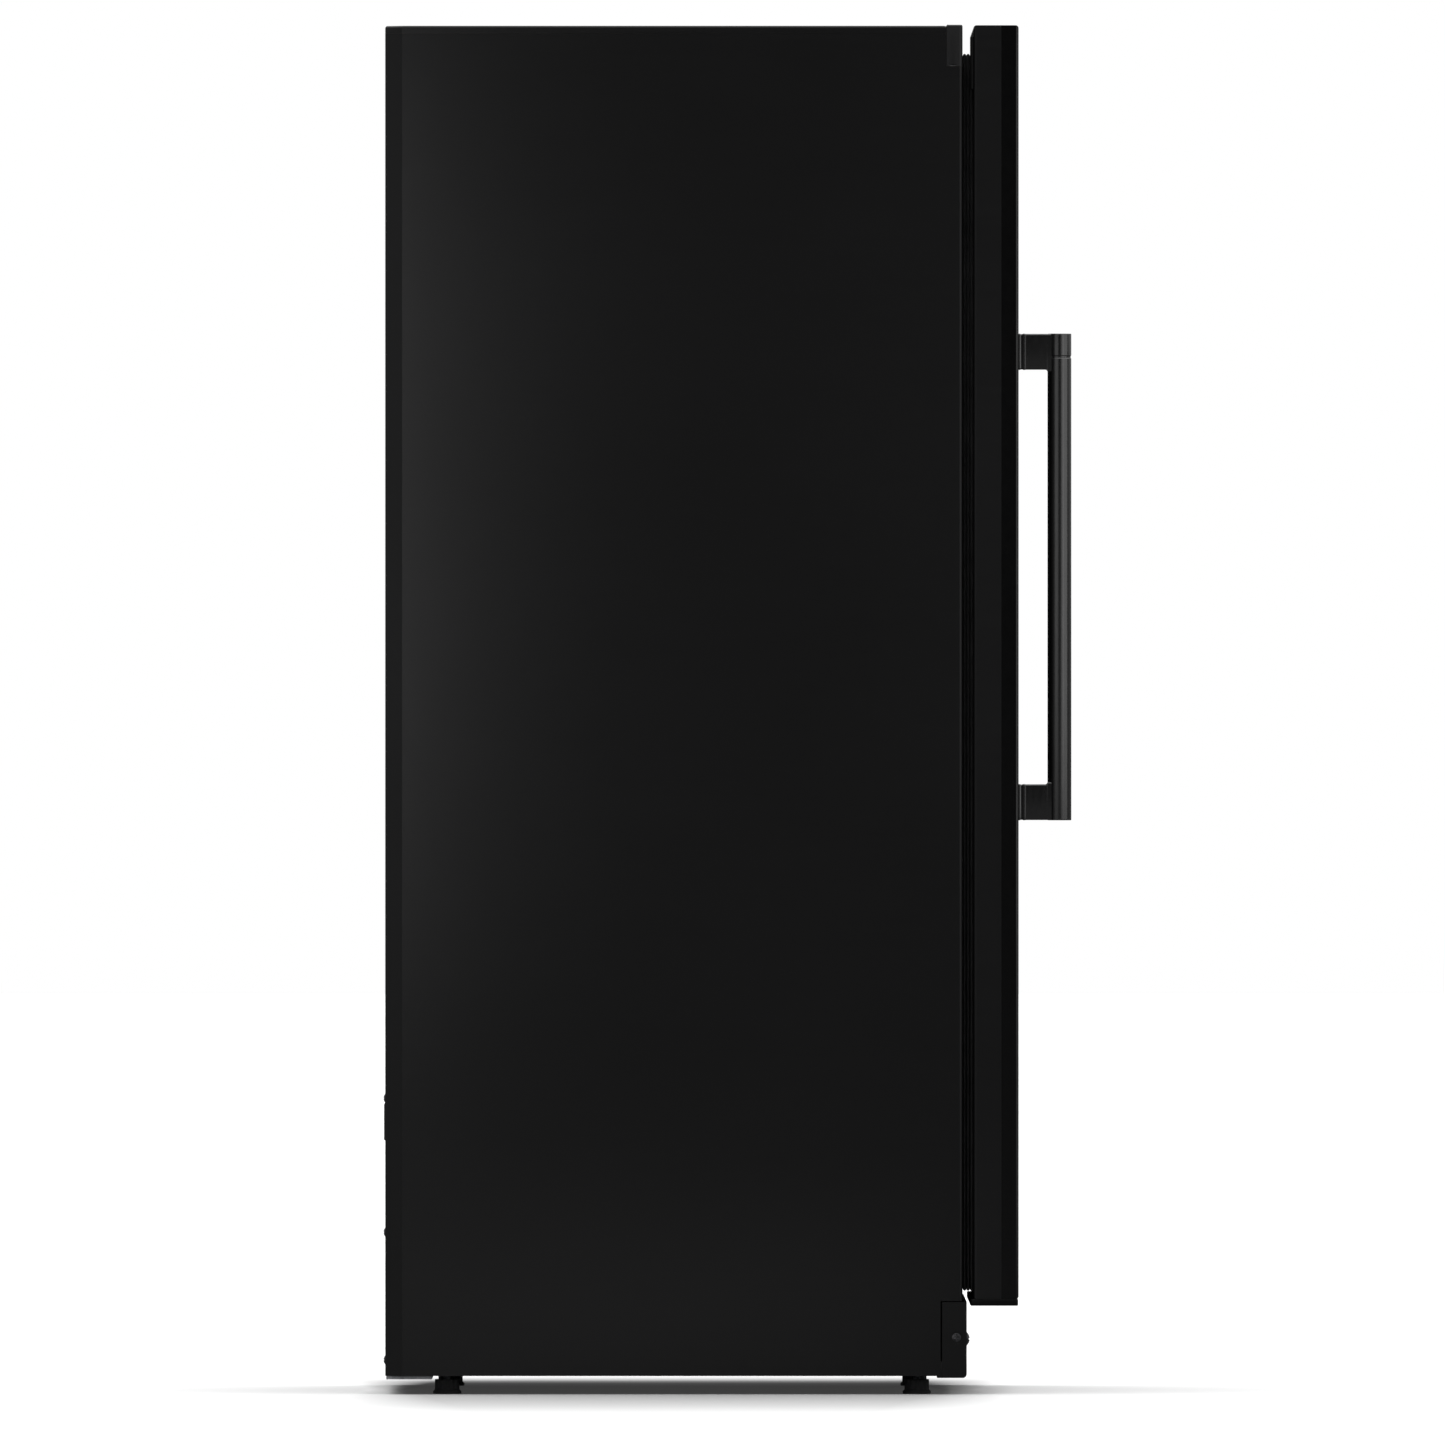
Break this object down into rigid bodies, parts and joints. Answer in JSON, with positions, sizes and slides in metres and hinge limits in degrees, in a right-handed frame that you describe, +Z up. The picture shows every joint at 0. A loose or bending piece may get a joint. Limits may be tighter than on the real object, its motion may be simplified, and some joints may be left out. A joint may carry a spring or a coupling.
{
  "type": "wine cooler",
  "caption": "Tall free-standing dual-zone wine cooler: insulated black cabinet with a hinged glass door, bar handle, sliding wooden shelves, controls and a machine bay.",
  "frame": {"origin": "on the floor under the middle of the whole object's box", "axes": "+Z up; front with the door towards -Y; hinges on the +X side"},
  "size_m": [0.595, 0.6824, 1.351],
  "materials": {
    "cabinet_paint": "satin black paint with a fine brushed texture",
    "door_black": "gloss black paint",
    "frame_grey": "satin dark grey paint",
    "handle_black": "semi-gloss black coating on metal tube",
    "cap_plastic": "moulded black plastic, fine grain",
    "liner_plastic": "thermoformed dark grey plastic",
    "foam": null,
    "zinc_steel": "zinc-plated sheet steel",
    "black_steel": "black enamel on pressed steel",
    "screw_steel": "black-oxide steel",
    "rubber_black": "matt black rubber",
    "copper": null,
    "fin_aluminium": "bare aluminium fins",
    "spacer_aluminium": "dark anodised aluminium",
    "glass_tint": "grey tinted float glass",
    "display_glass": "smoked acrylic window",
    "panel_gloss": "piano-black moulded plastic",
    "button_plastic": "soft-touch grey plastic",
    "light_diffuser": "translucent white diffuser over light-emitting diodes",
    "beech": "oiled beech",
    "bush_nylon": "natural nylon"
  },
  "bodies": {
    "cabinet": {"side_panel_left": "cabinet_paint", "side_panel_right": "cabinet_paint", "top_panel": "cabinet_paint", "rear_panel": "cabinet_paint", "base_plate": "zinc_steel", "front_frame": "cabinet_paint", "inner_liner": "liner_plastic", "insulation_foam": "foam", "zone_divider": "liner_plastic", "kick_plate": "cabinet_paint", "screws": "screw_steel", "corner_caps": "cap_plastic", "rear_cover": "cabinet_paint", "mains_inlet": "cap_plastic", "compressor": "black_steel", "condenser": "black_steel", "condenser_fan_shroud": "cap_plastic", "drip_tray": "cap_plastic", "electronics_box": "cap_plastic", "refrigerant_lines": "copper", "evaporator_covers": "liner_plastic", "evaporators": "fin_aluminium", "light_strips": "light_diffuser", "shelf_rails": "liner_plastic", "control_panel": "panel_gloss", "display_window": "display_glass", "hinge_top": "zinc_steel", "hinge_bottom": "zinc_steel"},
    "door": {"door_frame": "frame_grey", "door_trim": "door_black", "outer_glass": "glass_tint", "inner_glass": "glass_tint", "glass_spacer": "spacer_aluminium", "gasket_carrier": "cap_plastic", "door_gasket": "rubber_black", "door_end_caps": "cap_plastic", "hinge_bushes": "bush_nylon", "handle_bar": "handle_black", "handle_posts": "handle_black"},
    "condenser_fan": {"condenser_fan": "cap_plastic"},
    "upper_fan": {"upper_fan": "cap_plastic"},
    "lower_fan": {"lower_fan": "cap_plastic"},
    "foot_front_left": {"foot_front_left": "rubber_black"},
    "foot_front_right": {"foot_front_right": "rubber_black"},
    "foot_rear_left": {"foot_rear_left": "rubber_black"},
    "foot_rear_right": {"foot_rear_right": "rubber_black"},
    "button_power": {"button_power": "button_plastic"},
    "button_light": {"button_light": "button_plastic"},
    "button_up": {"button_up": "button_plastic"},
    "button_down": {"button_down": "button_plastic"},
    "upper_shelf_1": {"upper_shelf_1": "beech"},
    "upper_shelf_2": {"upper_shelf_2": "beech"},
    "upper_shelf_3": {"upper_shelf_3": "beech"},
    "upper_shelf_4": {"upper_shelf_4": "beech"},
    "upper_shelf_5": {"upper_shelf_5": "beech"},
    "lower_shelf_1": {"lower_shelf_1": "beech"},
    "lower_shelf_2": {"lower_shelf_2": "beech"},
    "lower_shelf_3": {"lower_shelf_3": "beech"},
    "lower_shelf_4": {"lower_shelf_4": "beech"}
  },
  "joints": [
    {"name": "door_hinge", "type": "hinge", "parent": "cabinet", "child": "door", "pos_m": [0.2815, -0.2615, 0.7], "axis": [0, 0, 1], "range_deg": [0, 105]},
    {"name": "upper_shelf_1_slide", "type": "slide", "parent": "cabinet", "child": "upper_shelf_1", "axis": [0, -1, 0], "range_m": [0, 0.035]},
    {"name": "upper_shelf_2_slide", "type": "slide", "parent": "cabinet", "child": "upper_shelf_2", "axis": [0, -1, 0], "range_m": [0, 0.035]},
    {"name": "upper_shelf_3_slide", "type": "slide", "parent": "cabinet", "child": "upper_shelf_3", "axis": [0, -1, 0], "range_m": [0, 0.035]},
    {"name": "upper_shelf_4_slide", "type": "slide", "parent": "cabinet", "child": "upper_shelf_4", "axis": [0, -1, 0], "range_m": [0, 0.035]},
    {"name": "upper_shelf_5_slide", "type": "slide", "parent": "cabinet", "child": "upper_shelf_5", "axis": [0, -1, 0], "range_m": [0, 0.035]},
    {"name": "lower_shelf_1_slide", "type": "slide", "parent": "cabinet", "child": "lower_shelf_1", "axis": [0, -1, 0], "range_m": [0, 0.035]},
    {"name": "lower_shelf_2_slide", "type": "slide", "parent": "cabinet", "child": "lower_shelf_2", "axis": [0, -1, 0], "range_m": [0, 0.035]},
    {"name": "lower_shelf_3_slide", "type": "slide", "parent": "cabinet", "child": "lower_shelf_3", "axis": [0, -1, 0], "range_m": [0, 0.035]},
    {"name": "lower_shelf_4_slide", "type": "slide", "parent": "cabinet", "child": "lower_shelf_4", "axis": [0, -1, 0], "range_m": [0, 0.035]},
    {"name": "condenser_fan_spin", "type": "hinge", "parent": "cabinet", "child": "condenser_fan", "pos_m": [-0.0725, 0.2284, 0.0877], "axis": [1, 0, 0], "continuous": true},
    {"name": "lower_fan_spin", "type": "hinge", "parent": "cabinet", "child": "lower_fan", "pos_m": [0, 0.2624, 0.59524], "axis": [0, -1, 0], "continuous": true},
    {"name": "upper_fan_spin", "type": "hinge", "parent": "cabinet", "child": "upper_fan", "pos_m": [0, 0.2624, 1.21], "axis": [0, -1, 0], "continuous": true},
    {"name": "foot_front_left_screw", "type": "slide", "parent": "cabinet", "child": "foot_front_left", "axis": [0, 0, -1], "range_m": [0, 0.012]},
    {"name": "foot_front_right_screw", "type": "slide", "parent": "cabinet", "child": "foot_front_right", "axis": [0, 0, -1], "range_m": [0, 0.012]},
    {"name": "foot_rear_left_screw", "type": "slide", "parent": "cabinet", "child": "foot_rear_left", "axis": [0, 0, -1], "range_m": [0, 0.012]},
    {"name": "foot_rear_right_screw", "type": "slide", "parent": "cabinet", "child": "foot_rear_right", "axis": [0, 0, -1], "range_m": [0, 0.012]},
    {"name": "button_power_press", "type": "slide", "parent": "cabinet", "child": "button_power", "axis": [0, 1, 0], "range_m": [0, 0.0012], "stiffness_N_per_m": 500},
    {"name": "button_light_press", "type": "slide", "parent": "cabinet", "child": "button_light", "axis": [0, 1, 0], "range_m": [0, 0.0012], "stiffness_N_per_m": 500},
    {"name": "button_up_press", "type": "slide", "parent": "cabinet", "child": "button_up", "axis": [0, 1, 0], "range_m": [0, 0.0012], "stiffness_N_per_m": 500},
    {"name": "button_down_press", "type": "slide", "parent": "cabinet", "child": "button_down", "axis": [0, 1, 0], "range_m": [0, 0.0012], "stiffness_N_per_m": 500}
  ]
}
